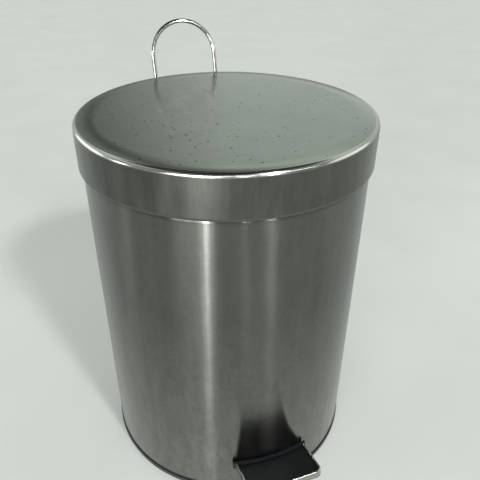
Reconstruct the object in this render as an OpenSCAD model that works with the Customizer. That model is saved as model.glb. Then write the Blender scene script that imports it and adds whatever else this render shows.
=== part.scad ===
// Round step-pedal waste bin with a hinged lid, an inner bucket and a wire carrying handle.
// Frame: +Z up, floor at z = 0, origin on the bin's axis. The pedal points to -Y, the hinge is at +Y.
// All sizes are in millimetres and the bin stands closed.

/* [Body] */
// Outside diameter of the steel body
body_d = 200; // [190:1:215]
// Height from the floor to the top of the closed lid
overall_h = 275; // [265:1:320]
// Thickness of the steel sheet of the body and the lid
sheet = 0.6; // [0.5:0.1:0.8]
// Drop from the underside of the lid to the top of the body's rim
rim_drop = 8.4; // [7.5:0.1:9.5]
// Radius of the rolled bead along the body's rim
bead_r = 1.2; // [0.9:0.1:1.4]

/* [Lid] */
// Gap between the body and the inside of the lid's skirt
lid_gap = 1.9; // [1.7:0.1:2.4]
// Height of the lid's skirt from its hem to the top face
skirt_h = 29; // [27:0.5:32]
// Outside radius of the shoulder between the lid's top and its skirt
shoulder_r = 3; // [2:0.1:3.5]
// Radius of the rolled bead along the skirt's lower edge
hem_r = 0.7; // [0.5:0.05:0.8]
// Angle through which the lid opens
lid_swing = 80; // [70:1:82]
// Diameter of the rubber bumpers under the lid
bumper_d = 4; // [3:0.5:4]

/* [Base] */
// Height of the base ring that shows under the body
ring_h = 6.4; // [5.5:0.1:7]
// Height of the wider foot of the base ring
ring_foot_h = 4.4; // [3.5:0.1:5]
// How far the foot of the base ring stands out from the body
ring_out = 0.6; // [0.4:0.1:1.5]
// Wall thickness of the base moulding
base_wall = 1.8; // [1.5:0.1:2.4]
// Height of the collar that holds the body from inside
collar_h = 14; // [10:1:20]
// Diameter of the rubber feet
foot_d = 14; // [10:1:18]
// Height by which the feet lift the base ring off the floor
foot_proud = 0.8; // [0.5:0.1:1]
// Diameter of the posts that carry the inner bucket
post_d = 10; // [8:1:14]

/* [Pedal] */
// Width of the pedal plate
pedal_w = 56.4; // [48:0.1:64]
// How far the pedal stands out from the body
pedal_out = 31.4; // [26:0.1:36]
// Height of the pedal's rim where it meets the body
pedal_h = 35.6; // [34:0.1:38]
// Upward slope of the pedal away from the body
pedal_slope = 16.5; // [14:0.5:18]
// Depth of the pedal plate's folded rim
tray_depth = 5.2; // [4.6:0.1:5.6]
// Thickness of the pedal plate's hemmed rim
tray_rim = 1.4; // [1.2:0.1:1.8]
// Thickness of the pedal plate's floor
tray_floor = 0.8; // [0.6:0.1:1.2]
// Outside corner radius of the pedal plate
tray_corner = 6; // [4:0.5:9]
// Depth of the rubber pad's top below the rim
pad_sink = 1.8; // [1.2:0.1:2]
// Width of the pad's lip along the body, which ends in an ear on each side
pad_lip = 2.2; // [1.8:0.1:3]
// How far the pad's ears stand out past the pedal plate
pad_ear = 1.6; // [1:0.1:2.5]

/* [Lever and rod] */
// Outside width of the pedal lever
lever_w = 22; // [18:1:24]
// Sheet thickness of the pedal lever
lever_t = 1.5; // [1.2:0.1:1.8]
// Depth of the lever where it passes through the body
lever_depth = 4; // [3.5:0.1:4.2]
// Height of the lever's axle above the floor
axle_z = 12; // [11.5:0.1:13]
// Distance of the axle in front of the bin's centre
axle_front = 2; // [0:1:10]
// Diameter of the lever's axle
axle_d = 5; // [4:0.5:5]
// Diameter of the push rod's wire
rod_d = 3.5; // [3:0.1:3.6]
// Height of the push rod's lower hook above the floor
rod_z = 9; // [8.6:0.1:10]
// Radius of the push rod's bends, on the wire's centre line
rod_bend = 4; // [3:0.5:6]
// Length of the crank on the lid that the push rod lifts
crank_r = 13; // [11:0.1:13]

/* [Hinge and handle] */
// Distance of the hinge axis behind the body's wall
hinge_out = 3; // [2.8:0.1:4.5]
// Height of the hinge axis above the skirt's hem
hinge_up = 4; // [2:0.5:5]
// Gap between each leg of the handle and the ear beside it
ear_gap = 1.45; // [1:0.05:2]
// Thickness of each ear of the hinge housing
ear_t = 4.3; // [3.5:0.1:5]
// Radius of the ears round the hinge axis
ear_r = 5.5; // [4.5:0.1:6]
// Height of the hinge housing below the hinge axis
housing_h = 50; // [44:1:60]
// Sheet thickness of the bracket under the lid
bracket_t = 1.2; // [1:0.1:1.6]
// Diameter of the carrying handle's wire
wire_d = 3.5; // [3:0.1:4]
// Distance between the handle's two legs, centre to centre
handle_w = 52; // [52:1:60]
// Height of the handle's loop from the hinge axis, along the loop
handle_h = 65; // [60:1:80]
// Backward lean of the handle when it stands up
handle_lean = 15; // [10:1:20]

/* [Inner bucket] */
// Distance from the body's outside to the bucket's wall under its flange
bucket_room = 14.8; // [13.5:0.1:20]
// Draft of the bucket's wall, from its top to its bottom
bucket_draft = 9.2; // [6:0.1:12]
// Wall thickness of the bucket
bucket_wall = 1.6; // [1.2:0.1:2]
// Height of the bucket's bottom above the floor
bucket_z = 30; // [28:0.5:32]
// Drop from the underside of the lid to the bucket's rim
bucket_drop = 30.4; // [28:0.1:36]
// Distance from the body's outside to the edge of the bucket's flange
flange_room = 5; // [4.3:0.1:5.6]
// Thickness of the bucket's flange
flange_t = 2; // [1.6:0.1:2.5]
// Diameter of the bucket bail's wire
bail_d = 3; // [2.6:0.1:3.2]
// Diameter of the bail's grip
grip_d = 5.2; // [4.6:0.1:5.4]
// Length of the bail's grip
grip_l = 46; // [30:1:60]

/* [Clearances] */
// Radial clearance of a shaft that turns in its hole
run_gap = 0.06; // [0.04:0.01:0.1]
// Radial clearance of a pressed or riveted fit
press_gap = 0.02; // [0.01:0.01:0.04]
// Clearance between pieces that are set against each other
seat_gap = 0.1; // [0.05:0.01:0.2]
// Clearance between pieces that pass each other
pass_gap = 0.5; // [0.4:0.1:0.8]

/* [Hidden] */
round_fn = 120;
small_fn = 32;
eps = 0.01;
body_r = body_d / 2;
body_in = body_r - sheet;
bead_in = body_r - 2 * bead_r;
lid_in = body_r + lid_gap;
lid_r = lid_in + sheet;
lid_under = overall_h - sheet;
hem_proud = 0.1;
skirt_z = overall_h - skirt_h;
rim_z = lid_under - rim_drop;
hinge_y = body_r + hinge_out;
hinge_z = skirt_z + hinge_up;
wire_r = wire_d / 2;
bucket_r = body_r - bucket_room;
bucket_foot_r = bucket_r - bucket_draft;
flange_r = body_r - flange_room;

// The crank swings evenly above and below the level of the hinge, so the push rod stays nearly upright.
crank_half = lid_swing / 2;
crank_y = hinge_y - crank_r * cos(crank_half);
crank_z = hinge_z - crank_r * sin(crank_half);
rod_rise = 2 * crank_r * sin(crank_half);
rod_y = crank_y;
rod_r = rod_d / 2;

// Lever: its axle, and the swing that lifts the rod by rod_rise. The rod's lower hook slides outward
// in the lever by lever_slot as the lever rises.
axle_y = -axle_front;
axle_r = axle_d / 2;
lever_rear = rod_y - axle_y;
lever_rest = asin((rod_z - axle_z) / lever_rear);
lever_swing = asin((rod_z + rod_rise - axle_z) / lever_rear) - lever_rest;
lever_play = 0.5;
lever_slot = lever_rear * (1 / cos(lever_rest + lever_swing) - 1);
lever_rear_r = rod_r + 2;
lever_hub = 4.5;
lever_belly = 2.5;
lever_blend = 0.3;
lever_reach = 26;
lever_flat = 10;
lever_rise = 1;
lever_tail = 6;
lever_web_back = 9;

// Pedal: its length along the slope, the radii between which the pad's lip follows the body, its rivets.
pedal_length = pedal_out / cos(pedal_slope);
lip_gap = 1.2;
lip_in = body_r + lip_gap;
lip_out = lip_in + pad_lip;
lip_proud = 0.2;
pedal_rivet_x = 5.5;
pedal_rivet_y = -pedal_length / 2;
pedal_head_low = 1.2;
pedal_head_top = 1;

// Bracket under the lid, and the lid's notch that clears the ears and the handle.
arm_x = 12;
arm_lean = 26;
arm_reach = 3.5;
crank_play = 0.85;
crank_slot_r = rod_r + crank_play;
crank_wall = 1.5;
crank_hub_r = crank_slot_r + crank_wall;
crank_in_r = crank_r * cos(crank_half);
bush_r = 3;
bush_flange_r = 4;
arm_hub_r = 5;
bracket_w = 48;
bracket_front = 48;
bracket_edge = 4.2;
bracket_back = lid_r - shoulder_r - bracket_edge;
arm_front = hinge_y - arm_lean;
arm_foot_z = 18;
lid_notch_side = 2.3;
lid_notch_over = 5.5;
lid_notch_a = asin((handle_w / 2 + wire_r + lid_notch_side) / lid_r);
lid_notch_z = hinge_z + ear_r + lid_notch_over;

// Cut-outs in the body.
slot_side = 2;
slot_low = 1;
slot_cover = 3;
slot_w = lever_w + 2 * slot_side;
slot_z = ring_h + slot_low;
slot_top = pedal_h - slot_cover;
slot_r = 3;
cut_w = slot_w + 2;
notch_side = 5;
notch_under = 4;
notch_w = 2 * (arm_x + notch_side);
notch_z = crank_z - crank_hub_r - notch_under;

// Base moulding: its floor, the collar inside the body, ribs, lever pivots, bucket posts and feet.
floor_z = foot_proud + 1;
floor_top = floor_z + base_wall;
ring_r = body_r + ring_out;
neck_r = body_r - 0.2;
collar_r = body_in - seat_gap;
rib_top = floor_top + 4.4;
rib_t = 2;
rib_gap = 24;
rib_start = lever_w / 2 + rib_gap;
pivot_x = lever_w / 2 + 1;
pivot_t = 5;
pivot_r = 5.5;
post_edge = 7.36;
post_xy = (bucket_foot_r - post_d / 2 - post_edge) / sqrt(2);
foot_edge = 9.56;
foot_xy = (body_r - foot_d / 2 - foot_edge) / sqrt(2);

// Push-on washers on the axle and on the push rod.
clip_t = 1;
clip_wall = 1.65;
clip_gap = 0.3;

// Stop under the lever: its top is where the lever's lower edge comes down to.
stop_back = 25;
stop_y = -body_r + stop_back;
stop_l = 10;

// Hinge housing and rod guide.
ear_out = handle_w / 2 - wire_r - ear_gap;
ear_in = ear_out - ear_t;
housing_w = 2 * ear_out;
housing_z = hinge_z - housing_h;
housing_over = 4;
housing_t = 4.5;
housing_top = notch_z + housing_over;
housing_back = body_r + housing_t;
ear_foot = 14;
ear_root = housing_z + ear_foot;
ear_back = hinge_y + ear_r;
rivet_x = 13.5;
rivet_r = 1.6;
rivet_head_r = 3.1;
rivet_head_t = 1.4;
rivet_low = 7;
rivet_high = 6.5;
rivet_zs = [housing_z + rivet_low, notch_z - rivet_high];
guide_depth = 4.9;
guide_edge = 1.5;
guide_face = body_in - guide_depth;
guide_w = 2 * (rivet_x + rivet_head_r + guide_edge);
guide_z = housing_z + 1;
guide_top = notch_z - guide_edge;
guide_boss_w = 12;
guide_boss_r = 4.5;

// Inner bucket: its wall, its flange, the lugs of its bail and the bail.
rim_top = lid_under - bucket_drop;
flange_z = rim_top - flange_t;
flange_lip = 5;
bucket_relief = 2 * ear_in + 2;
bail_lug_r = 4.5;
bail_z = rim_top + bail_lug_r;
bail_r = bail_d / 2;
bail_bend = 2;
bail_lug_inset = 0.6;
bail_lug_gap = 0.4;
bail_lug_in = bucket_r + bail_lug_inset;
bail_lug_t = 2.8;
bail_x = bail_lug_in + bail_lug_t + bail_bend + bail_lug_gap;
bail_shift = 3;
bail_reach = bail_shift + bail_x;
grip_r = grip_d / 2;
grip_half = grip_l / 2 / bail_x * 180 / PI;
bail_sag = asin((bail_z - rim_top - grip_r - seat_gap) / bail_reach);

// ---- Helpers ----------------------------------------------------------------------------------

// Point on the side view of the pedal: a is the distance out along the slope, n the height square to it.
function pedal_point(a, n) = [-body_r - a * cos(pedal_slope) + n * sin(pedal_slope),
                              pedal_h + a * sin(pedal_slope) + n * cos(pedal_slope)];

// Point at distance d from the hinge axis, at an angle below the level line towards the front.
function crank_point(d) = [hinge_y - d * cos(crank_half), hinge_z - d * sin(crank_half)];

// Side view drawn in (Y, Z), given a thickness along X from x0.
module along_x(x0, t) {
    translate([x0, 0, 0]) rotate([90, 0, 90]) linear_extrude(height = t) children();
}

// Round bar along X.
module bar_x(r, x0, x1, y, z) {
    translate([x0, y, z]) rotate([0, 90, 0]) cylinder(r = r, h = x1 - x0, $fn = small_fn);
}

// Round bar along Y.
module bar_y(r, y0, y1, x, z) {
    translate([x, y0, z]) rotate([-90, 0, 0]) cylinder(r = r, h = y1 - y0, $fn = small_fn);
}

// Quarter of a ring of wire in the XY plane, turned to start at the angle a.
module wire_arc(bend, r, a, sweep) {
    rotate([0, 0, a]) rotate_extrude(angle = sweep, $fn = round_fn) translate([bend, 0])
        circle(r = r, $fn = small_fn);
}

// Upright tube.
module tube(r_out, r_in, z0, z1) {
    translate([0, 0, z0]) difference() {
        cylinder(r = r_out, h = z1 - z0, $fn = round_fn);
        translate([0, 0, -1]) cylinder(r = r_in, h = z1 - z0 + 2, $fn = round_fn);
    }
}

// Everything inside an upright cylinder round the bin's axis.
module core(r) {
    translate([0, 0, -1]) cylinder(r = r, h = overall_h + 2, $fn = round_fn);
}

// Shape drawn in the pedal's own frame: -Y out along the slope, +Z square to it, 0 at the rim.
module on_pedal() {
    translate([0, -body_r, pedal_h]) rotate([-pedal_slope, 0, 0]) children();
}

// Outline of the pedal plate, smaller by inset all round; the front corners are rounded.
module pedal_outline(inset) {
    half = pedal_w / 2 - inset;
    front = pedal_length - inset;
    corner = tray_corner - inset;
    translate([-half, -front + corner]) square([2 * half, front - corner + 12]);
    translate([-half + corner, -front]) square([2 * (half - corner), corner + eps]);
    for (side = [-1, 1]) translate([side * (half - corner), -front + corner])
        circle(r = corner, $fn = 48);
}

// Stadium between two points, as two discs and the bar between them.
module stadium(p, q, r) {
    d = q - p;
    translate(p) circle(r = r, $fn = small_fn);
    translate(q) circle(r = r, $fn = small_fn);
    translate(p) rotate(atan2(d[1], d[0])) translate([0, -r]) square([norm(d), 2 * r]);
}

// ---- Body and base ----------------------------------------------------------------------------

// Rolled steel tube with a bead along its rim, a slot for the lever and a notch for the hinge.
module outer_body() {
    color([0.56, 0.56, 0.54]) difference() {
        union() {
            tube(body_r, body_in, ring_h, rim_z - bead_r);
            translate([0, 0, rim_z - bead_r]) rotate_extrude($fn = round_fn)
                translate([body_r - bead_r, 0]) circle(r = bead_r, $fn = small_fn);
        }
        translate([0, -body_r + 10, 0]) rotate([90, 0, 0]) linear_extrude(height = 20) slot_outline();
        translate([-notch_w / 2, body_r - 12, notch_z]) cube([notch_w, 20, rim_z]);
        rivet_holes(rivet_r + press_gap);
    }
}

// Outline of the lever's slot, seen from the front.
module slot_outline() {
    half = slot_w / 2;
    translate([-half, slot_z]) square([slot_w, slot_top - slot_r - slot_z]);
    translate([-half + slot_r, slot_top - slot_r - eps]) square([slot_w - 2 * slot_r, slot_r + eps]);
    for (side = [-1, 1]) translate([side * (half - slot_r), slot_top - slot_r])
        circle(r = slot_r, $fn = small_fn);
}

// Four holes through the hinge housing, the wall and the rod guide.
module rivet_holes(r) {
    for (x = [-rivet_x, rivet_x], z = rivet_zs) bar_y(r, body_r - 20, body_r + 20, x, z);
}

// Moulded base: ring, floor, collar inside the body, lever pivots and posts for the bucket.
module base_moulding() {
    color([0.06, 0.065, 0.065]) difference() {
        union() {
            rotate_extrude($fn = round_fn) polygon([
                [ring_r - base_wall, foot_proud], [ring_r, foot_proud], [ring_r, ring_foot_h],
                [neck_r, ring_foot_h], [neck_r, ring_h], [collar_r, ring_h],
                [collar_r, ring_h + collar_h], [collar_r - base_wall, ring_h + collar_h],
                [collar_r - base_wall, floor_top], [0, floor_top], [0, floor_z],
                [ring_r - base_wall, floor_z]]);
            for (side = [-1, 1]) pivot_block(side);
            for (x = [-post_xy, post_xy], y = [-post_xy, post_xy])
                translate([x, y, floor_z]) cylinder(d = post_d, h = bucket_z - floor_z, $fn = small_fn);
            for (a = [30, 60, 120, 150, 210, 240, 300, 330]) rotate([0, 0, a])
                translate([rib_start, -rib_t / 2, floor_z])
                    cube([collar_r - base_wall / 2 - rib_start, rib_t, rib_top - floor_z]);
        }
        translate([-cut_w / 2, -body_r - 5, ring_h + pass_gap]) cube([cut_w, 30, collar_h + 5]);
        translate([-cut_w / 2, body_r - 15, ring_h]) cube([cut_w, 20, collar_h + 5]);
        bar_x(axle_r + press_gap, -body_r / 2, body_r / 2, axle_y, axle_z);
    }
}

// Block that holds one end of the lever's axle.
module pivot_block(side) {
    x0 = side > 0 ? pivot_x : -pivot_x - pivot_t;
    bar_x(pivot_r, x0, x0 + pivot_t, axle_y, axle_z);
    translate([x0, axle_y - pivot_r, floor_z]) cube([pivot_t, 2 * pivot_r, axle_z - floor_z]);
}

// Rubber feet under the floor of the base: four near its edge, and one under the lever's axle.
module base_feet() {
    color([0.10, 0.10, 0.10]) for (place = [[0, 0], [-foot_xy, -foot_xy], [-foot_xy, foot_xy],
            [foot_xy, -foot_xy], [foot_xy, foot_xy]])
        translate([place[0], place[1], 0]) cylinder(d = foot_d, h = floor_z, $fn = 48);
}

// Steel pin that the lever rocks on.
module lever_axle() {
    end = pivot_x + pivot_t + clip_t + 1.5;
    color([0.70, 0.70, 0.68]) bar_x(axle_r, -end, end, axle_y, axle_z);
}

// Push-on washers at the two ends of the axle.
module axle_clips() {
    color([0.45, 0.45, 0.45]) for (side = [-1, 1]) {
        x0 = side > 0 ? pivot_x + pivot_t + seat_gap : -pivot_x - pivot_t - seat_gap - clip_t;
        difference() {
            bar_x(axle_r + clip_wall, x0, x0 + clip_t, axle_y, axle_z);
            bar_x(axle_r + press_gap, x0 - 1, x0 + clip_t + 1, axle_y, axle_z);
        }
    }
}

// Height that the lever's lower edge reaches over the stop when the pedal is down.
function lever_low(y) = let (
        bend = lever_top()[1] - [0, lever_depth],
        hip = lever_top()[2] - [0, lever_depth + lever_belly],
        f = (y - hip[0]) / (bend[0] - hip[0]),
        dy = y - axle_y,
        dz = hip[1] + f * (bend[1] - hip[1]) - axle_z)
    axle_z + dy * sin(lever_swing) + dz * cos(lever_swing);

// Rubber block on the base that the lever comes down on.
module lever_stop() {
    top = lever_low(stop_y) - 3 * seat_gap;
    color([0.12, 0.12, 0.12]) translate([-lever_w / 2, stop_y - stop_l / 2, floor_top])
        cube([lever_w, stop_l, top - floor_top]);
}

// ---- Pedal ------------------------------------------------------------------------------------

// Upper line of the lever's side view, from the pedal to the rear.
function lever_top() = [pedal_point(lever_reach, -tray_depth), pedal_point(-lever_tail, -tray_depth),
                        [axle_y - lever_flat, axle_z + lever_hub + lever_rise],
                        [axle_y + lever_flat, axle_z + lever_hub + lever_rise],
                        [rod_y, rod_z + lever_rear_r - lever_blend]];

// Pressed steel channel that rocks on the axle: a web and two side plates.
module pedal_lever() {
    top = lever_top();
    web_f = (rod_y - lever_web_back - top[3][0]) / (top[4][0] - top[3][0]);
    web_end = top[3] + web_f * (top[4] - top[3]);
    web_line = [top[0], top[1], top[2], top[3], web_end];
    down = pedal_point(lever_reach, -tray_depth - lever_depth);
    color([0.62, 0.62, 0.60]) difference() {
        union() {
            along_x(-lever_w / 2, lever_w) polygon(concat(web_line,
                [for (i = [4 : -1 : 0]) web_line[i] - [0, lever_t]]));
            for (x0 = [-lever_w / 2, lever_w / 2 - lever_t]) along_x(x0, lever_t) {
                polygon([top[0], top[1], top[2], top[3], top[4],
                    [rod_y, rod_z - lever_rear_r + lever_blend],
                    [axle_y + 6, axle_z - lever_hub], [axle_y - 6, axle_z - lever_hub],
                    [top[2][0], top[2][1] - lever_depth - lever_belly],
                    top[1] - [0, lever_depth], down]);
                translate([rod_y, rod_z]) circle(r = lever_rear_r, $fn = small_fn);
            }
        }
        bar_x(axle_r + run_gap, -lever_w, lever_w, axle_y, axle_z);
        along_x(-lever_w, 2 * lever_w)
            stadium([rod_y, rod_z], [rod_y + lever_slot, rod_z], rod_r + lever_play);
        on_pedal() pedal_rivet_holes(rivet_r + press_gap);
    }
}

// Two rivet holes in the pedal's frame.
module pedal_rivet_holes(r) {
    for (x = [-pedal_rivet_x, pedal_rivet_x]) translate([x, pedal_rivet_y, -tray_depth - 20])
        cylinder(r = r, h = 20 + tray_depth, $fn = small_fn);
}

// Folded steel plate with a hemmed rim on three sides; its rear edge follows the body.
module pedal_plate() {
    bead = tray_rim / 2;
    arc = tray_corner - bead;
    half = pedal_w / 2 - bead;
    front = pedal_length - bead;
    color([0.66, 0.66, 0.64]) difference() {
        on_pedal() union() {
            difference() {
                translate([0, 0, -tray_depth]) linear_extrude(height = tray_depth - bead)
                    pedal_outline(0);
                translate([0, 0, -tray_depth + tray_floor]) linear_extrude(height = tray_depth)
                    pedal_outline(tray_rim);
                pedal_rivet_holes(rivet_r + press_gap);
            }
            for (side = [-1, 1]) {
                bar_y(bead, -front + arc, 12, side * half, -bead);
                translate([side * (half - arc), -front + arc, -bead])
                    wire_arc(arc, bead, side > 0 ? 270 : 180, 90);
            }
            bar_x(bead, -half + arc, half - arc, -front, -bead);
        }
        core(lip_out + seat_gap);
    }
}

// Black rubber pad in the plate, with a lip along the body that ends in an ear on each side.
module pedal_pad() {
    top = -pad_sink;
    low = -tray_depth + tray_floor;
    inset = tray_rim + seat_gap;
    color([0.05, 0.055, 0.06]) union() {
        difference() {
            on_pedal() difference() {
                translate([0, 0, low]) linear_extrude(height = top - low) pedal_outline(inset);
                for (x = [-pedal_rivet_x, pedal_rivet_x]) translate([x, pedal_rivet_y, low - 1])
                    cylinder(r = rivet_head_r + 0.3, h = 1 + pedal_head_top + 2 * seat_gap,
                        $fn = small_fn);
            }
            core(lip_out - eps);
        }
        intersection() {
            on_pedal() translate([-pedal_w / 2 - pad_ear, -12, -tray_depth])
                cube([pedal_w + 2 * pad_ear, 24, tray_depth + lip_proud]);
            tube(lip_out, lip_in, 0, overall_h / 2);
        }
    }
}

// Rivets that hold the plate on the lever.
module pedal_rivets() {
    low = -tray_depth - lever_t - pedal_head_low;
    floor = -tray_depth + tray_floor;
    color([0.70, 0.70, 0.68]) on_pedal() for (x = [-pedal_rivet_x, pedal_rivet_x])
        translate([x, pedal_rivet_y, 0]) {
            translate([0, 0, low]) cylinder(r = rivet_r, h = floor - low + eps, $fn = small_fn);
            translate([0, 0, low]) cylinder(r = rivet_head_r, h = pedal_head_low, $fn = small_fn);
            translate([0, 0, floor]) cylinder(r = rivet_head_r, h = pedal_head_top, $fn = small_fn);
        }
}

// ---- Push rod and hinge -----------------------------------------------------------------------

// Bent wire from the lever up to the crank: both ends are hooks along +X.
module push_rod() {
    z0 = rod_z + rod_bend;
    z1 = crank_z - rod_bend;
    color([0.72, 0.72, 0.70]) union() {
        translate([0, rod_y, z0]) cylinder(r = rod_r, h = z1 - z0, $fn = small_fn);
        translate([rod_bend, rod_y, z0]) rotate([90, 0, 0]) wire_arc(rod_bend, rod_r, 180, 90);
        translate([rod_bend, rod_y, z1]) rotate([90, 0, 0]) wire_arc(rod_bend, rod_r, 90, 90);
        bar_x(rod_r, rod_bend, lever_w / 2 + clip_t + 2, rod_y, rod_z);
        bar_x(rod_r, rod_bend, arm_x + bracket_t + clip_t + 2, rod_y, crank_z);
    }
}

// Push-on washers that keep the rod's hooks in the lever and in the crank.
module rod_clips() {
    color([0.45, 0.45, 0.45]) for (place = [[lever_w / 2, rod_z], [arm_x + bracket_t, crank_z]]) {
        x0 = place[0] + clip_gap;
        difference() {
            bar_x(rod_r + clip_wall, x0, x0 + clip_t, rod_y, place[1]);
            bar_x(rod_r + press_gap, x0 - 1, x0 + clip_t + 1, rod_y, place[1]);
        }
    }
}

// Moulded guide inside the wall that the push rod slides through.
module rod_guide() {
    color([0.08, 0.08, 0.08]) difference() {
        intersection() {
            union() {
                translate([-guide_w / 2, guide_face, guide_z])
                    cube([guide_w, body_r - guide_face, guide_top - guide_z]);
                translate([-guide_boss_w / 2, rod_y - guide_boss_r, guide_z])
                    cube([guide_boss_w, body_r - rod_y + guide_boss_r, guide_top - guide_z]);
            }
            core(body_in - press_gap);
        }
        translate([0, rod_y, guide_z - 1])
            cylinder(r = rod_r + run_gap, h = guide_top - guide_z + 2, $fn = small_fn);
        rivet_holes(rivet_r + press_gap);
    }
}

// Moulded housing on the outside of the wall, with the two ears that carry the hinge.
module hinge_housing() {
    color([0.07, 0.07, 0.075]) difference() {
        union() {
            translate([-housing_w / 2, body_r - 15, housing_z])
                cube([housing_w, housing_back - body_r + 15, housing_top - housing_z]);
            for (x0 = [-ear_out, ear_in]) along_x(x0, ear_t) {
                translate([hinge_y, hinge_z]) circle(r = ear_r, $fn = small_fn);
                polygon([[body_r - 8, ear_root + 6], [housing_back, ear_root],
                    [ear_back, hinge_z - 8], [ear_back, hinge_z], [body_r - 8, hinge_z]]);
            }
        }
        core(body_r + press_gap);
        bar_x(wire_r + run_gap, -body_r, body_r, hinge_y, hinge_z);
        rivet_holes(rivet_r + press_gap);
    }
}

// Domed head of a rivet, standing on Z = 0: the cap of a ball, cut by the head's own radius.
module rivet_dome(r, t) {
    ball = (r * r + t * t) / (2 * t);
    rotate_extrude($fn = small_fn) intersection() {
        translate([0, t - ball]) circle(r = ball, $fn = 64);
        square([r, t]);
    }
}

// Rivets through the housing, the wall and the guide.
module hinge_rivets() {
    color([0.66, 0.66, 0.64]) for (x = [-rivet_x, rivet_x], z = rivet_zs) union() {
        bar_y(rivet_r, guide_face - eps, housing_back + eps, x, z);
        translate([x, guide_face, z]) rotate([90, 0, 0]) rivet_dome(rivet_head_r, rivet_head_t);
        translate([x, housing_back, z]) rotate([-90, 0, 0]) rivet_dome(rivet_head_r, rivet_head_t);
    }
}

// ---- Lid and handle ---------------------------------------------------------------------------

// Half section of the lid's outer form, smaller by inset on its top and side.
module lid_profile(inset) {
    corner = shoulder_r - inset;
    corner_y = overall_h - shoulder_r;
    square([lid_r - shoulder_r, overall_h - inset]);
    square([lid_r - inset, corner_y]);
    translate([lid_r - shoulder_r, corner_y]) circle(r = corner, $fn = 64);
}

// Drawn steel lid: flat top, rounded shoulder, skirt with a rolled edge and a notch for the hinge.
// The notch's sides lie on planes through the lid's axis.
module lid_shell() {
    reach = 2 * lid_r;
    color([0.58, 0.59, 0.57]) difference() {
        rotate_extrude($fn = round_fn) union() {
            difference() {
                lid_profile(0);
                translate([-1, 0]) square([lid_r + 2, skirt_z + hem_r]);
                intersection() {
                    lid_profile(sheet);
                    translate([-1, 0]) square([lid_r + 2, overall_h]);
                }
            }
            translate([lid_r + hem_proud - hem_r, skirt_z + hem_r]) circle(r = hem_r, $fn = small_fn);
        }
        translate([0, 0, skirt_z - 5]) linear_extrude(height = lid_notch_z - skirt_z + 5)
            polygon([[0, 0], [reach * sin(lid_notch_a), reach * cos(lid_notch_a)],
                [-reach * sin(lid_notch_a), reach * cos(lid_notch_a)]]);
    }
}

// Pressed bracket welded under the lid: a plate and two arms, one of them with the crank's slot.
module lid_bracket() {
    plate_z = lid_under - bracket_t;
    front = hinge_y - bracket_front;
    color([0.62, 0.62, 0.60]) difference() {
        union() {
            translate([-bracket_w / 2, front, plate_z]) cube([bracket_w, bracket_back - front, bracket_t]);
            for (side = [-1, 1]) along_x(side > 0 ? arm_x : -arm_x - bracket_t, bracket_t) {
                polygon([[arm_front, lid_under], [bracket_back, lid_under],
                    [bracket_back + 2, lid_notch_z - 1], [hinge_y + 2, hinge_z + arm_hub_r - 1],
                    [hinge_y, hinge_z], [hinge_y - arm_hub_r, hinge_z],
                    [bucket_r + arm_reach, rim_top + arm_foot_z]]);
                translate([hinge_y, hinge_z]) circle(r = arm_hub_r, $fn = small_fn);
                if (side > 0) stadium(crank_point(crank_in_r), crank_point(crank_r), crank_hub_r);
                if (side > 0) stadium([hinge_y, hinge_z], crank_point(crank_in_r), crank_hub_r);
            }
        }
        bar_x(bush_r + press_gap, -body_r, body_r, hinge_y, hinge_z);
        along_x(0, body_r) stadium(crank_point(crank_in_r), crank_point(crank_r), crank_slot_r);
    }
}

// Nylon bushes in the bracket's arms; their flanges fill the space to the ears.
module hinge_bushes() {
    color([0.85, 0.85, 0.82]) for (side = [-1, 1]) mirror([side < 0 ? 1 : 0, 0, 0]) difference() {
        union() {
            bar_x(bush_r, arm_x - 0.6, arm_x + bracket_t + eps, hinge_y, hinge_z);
            bar_x(bush_flange_r, arm_x + bracket_t, ear_in - clip_gap, hinge_y, hinge_z);
        }
        bar_x(wire_r + run_gap, 0, body_r, hinge_y, hinge_z);
    }
}

// Rubber bumpers under the lid that come down on the body's rim.
module lid_bumpers() {
    r = min(body_r - bead_r, lid_r - shoulder_r - bumper_d / 2 - 0.4);
    color([0.10, 0.10, 0.10]) for (a = [45, 135, 225, 315]) rotate([0, 0, a])
        translate([r, 0, rim_z + seat_gap])
            cylinder(d = bumper_d, h = lid_under - rim_z - seat_gap, $fn = small_fn);
}

// Wire loop that carries the bin: its ends turn inward and are the pins of the hinge.
module carry_handle() {
    half = handle_w / 2;
    bend = half - ear_out - 0.2;
    straight = handle_h - half;
    end = arm_x - 1;
    color([0.80, 0.80, 0.79]) translate([0, hinge_y, hinge_z]) rotate([-handle_lean, 0, 0]) union() {
        for (side = [-1, 1]) mirror([side < 0 ? 1 : 0, 0, 0]) {
            bar_x(wire_r, end, half - bend, 0, 0);
            translate([half - bend, 0, bend]) rotate([90, 0, 0]) wire_arc(bend, wire_r, 270, 90);
            translate([half, 0, bend]) cylinder(r = wire_r, h = straight - bend, $fn = small_fn);
        }
        translate([0, 0, straight]) rotate([90, 0, 0]) wire_arc(half, wire_r, 0, 180);
    }
}

// ---- Inner bucket -----------------------------------------------------------------------------

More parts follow.
